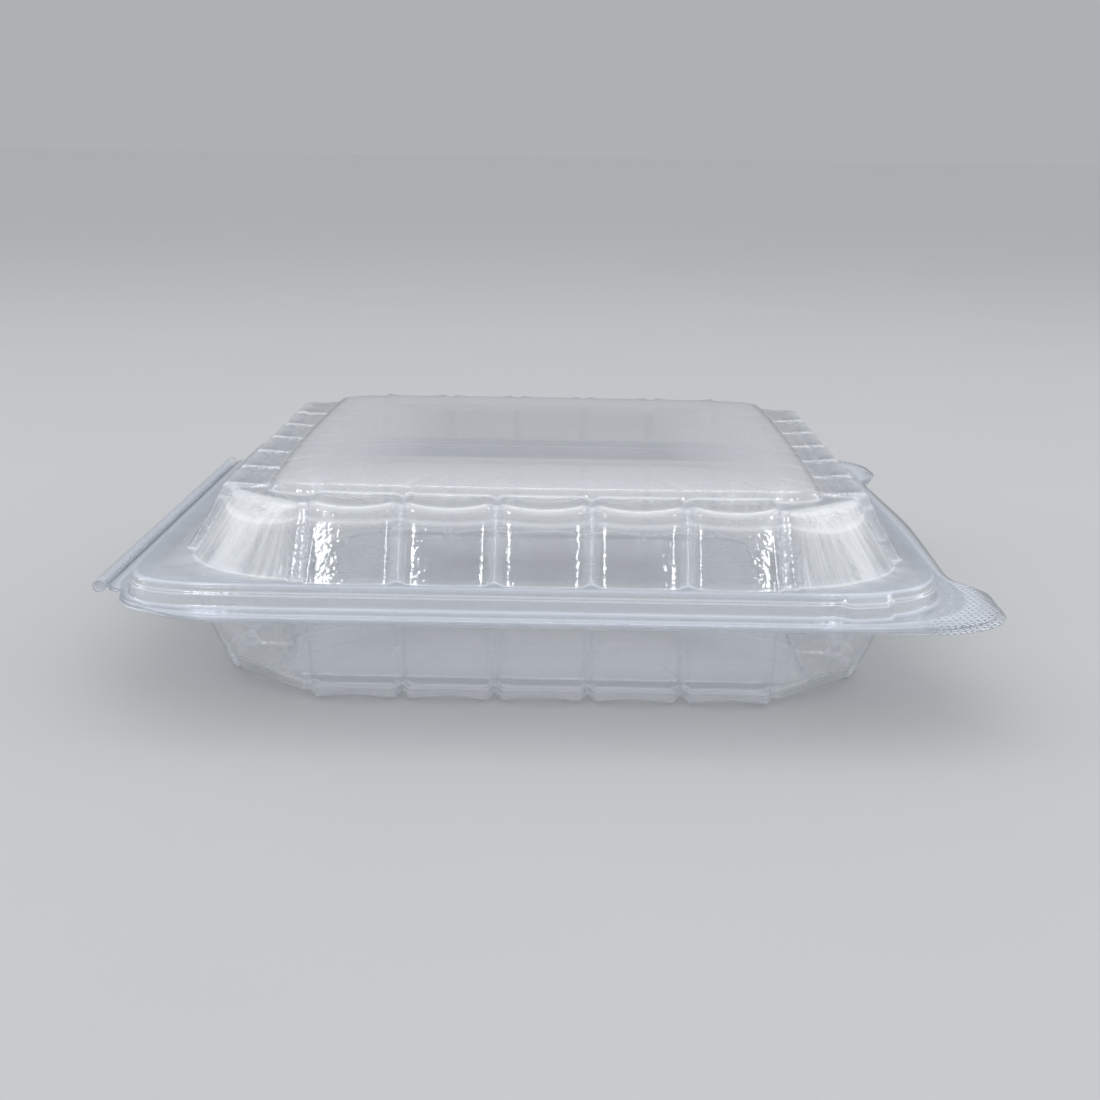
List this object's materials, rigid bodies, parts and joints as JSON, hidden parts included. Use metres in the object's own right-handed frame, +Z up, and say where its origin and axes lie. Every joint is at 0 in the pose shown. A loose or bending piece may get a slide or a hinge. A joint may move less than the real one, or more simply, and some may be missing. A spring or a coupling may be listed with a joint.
{
  "type": "hinged plastic clamshell pack",
  "caption": "Clear thermoformed hinged food pack: fluted base tray, fluted lid with a flat top, one hinge bead and two pairs of pull tabs.",
  "frame": {"origin": "on the ground, under the middle of the closed pack's bounding box", "axes": "+Z up, +X from the hinge to the pull tabs, +Y along the hinge"},
  "size_m": [0.2414, 0.224, 0.0564],
  "materials": {
    "clear_sheet": "clear, glossy thermoformed sheet with haze at its bends"
  },
  "bodies": {
    "base": {"base_tray": "clear_sheet", "living_hinge": "clear_sheet"},
    "cover": {"lid": "clear_sheet"}
  },
  "joints": [
    {"name": "lid_joint", "type": "hinge", "parent": "base", "child": "cover", "pos_m": [-0.1188, 0, 0.02835], "axis": [0, -1, 0], "range_deg": [0, 180]}
  ]
}
